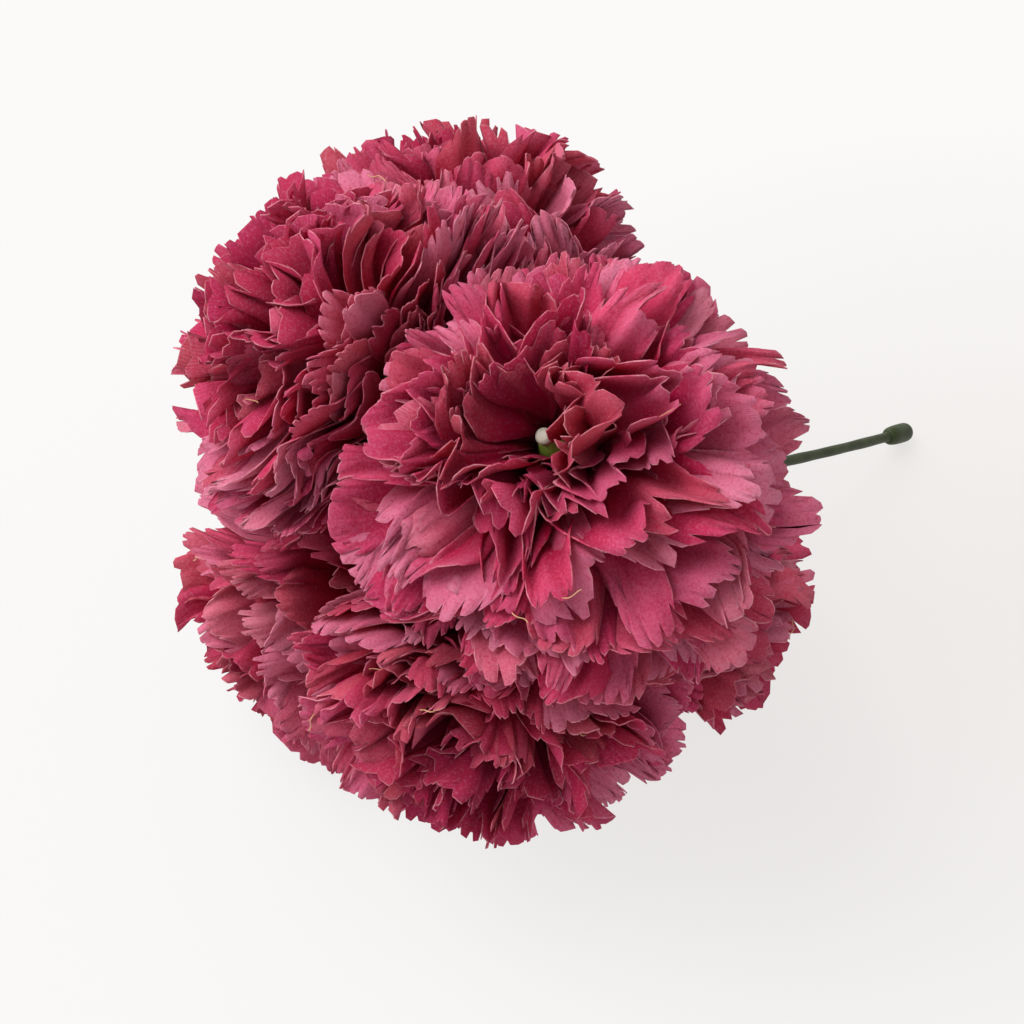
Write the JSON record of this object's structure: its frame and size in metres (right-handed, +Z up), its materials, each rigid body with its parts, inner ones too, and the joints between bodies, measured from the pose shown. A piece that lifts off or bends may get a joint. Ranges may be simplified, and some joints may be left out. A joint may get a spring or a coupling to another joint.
{
  "type": "bunch of artificial carnations",
  "caption": "Bunch of dark rose fabric carnations pressed into a dome on one thin plastic covered wire stem, lying on its side.",
  "frame": {"origin": "centre of the bounding box on the surface the bunch lies on", "axes": "+Z up; +X level, from the free end of the stem towards the heads; +Y level, to the left of +X"},
  "size_m": [0.1915, 0.1494, 0.1464],
  "materials": {
    "petal": "matte woven fabric",
    "calyx": "matte moulded",
    "stud": "matte moulded",
    "stem": "satin plastic covering"
  },
  "bodies": {
    "root": {"bloom_front": "petal", "calyx_front": "calyx", "stud_front": "stud", "bloom_upper": "petal", "calyx_upper": "calyx", "stud_upper": "stud", "bloom_top": "petal", "calyx_top": "calyx", "stud_top": "stud", "bloom_left": "petal", "calyx_left": "calyx", "stud_left": "stud", "bloom_low": "petal", "calyx_low": "calyx", "stud_low": "stud", "bloom_back": "petal", "calyx_back": "calyx", "stud_back": "stud", "bloom_under": "petal", "calyx_under": "calyx", "stud_under": "stud", "wire_stem": "stem"}
  },
  "joints": []
}
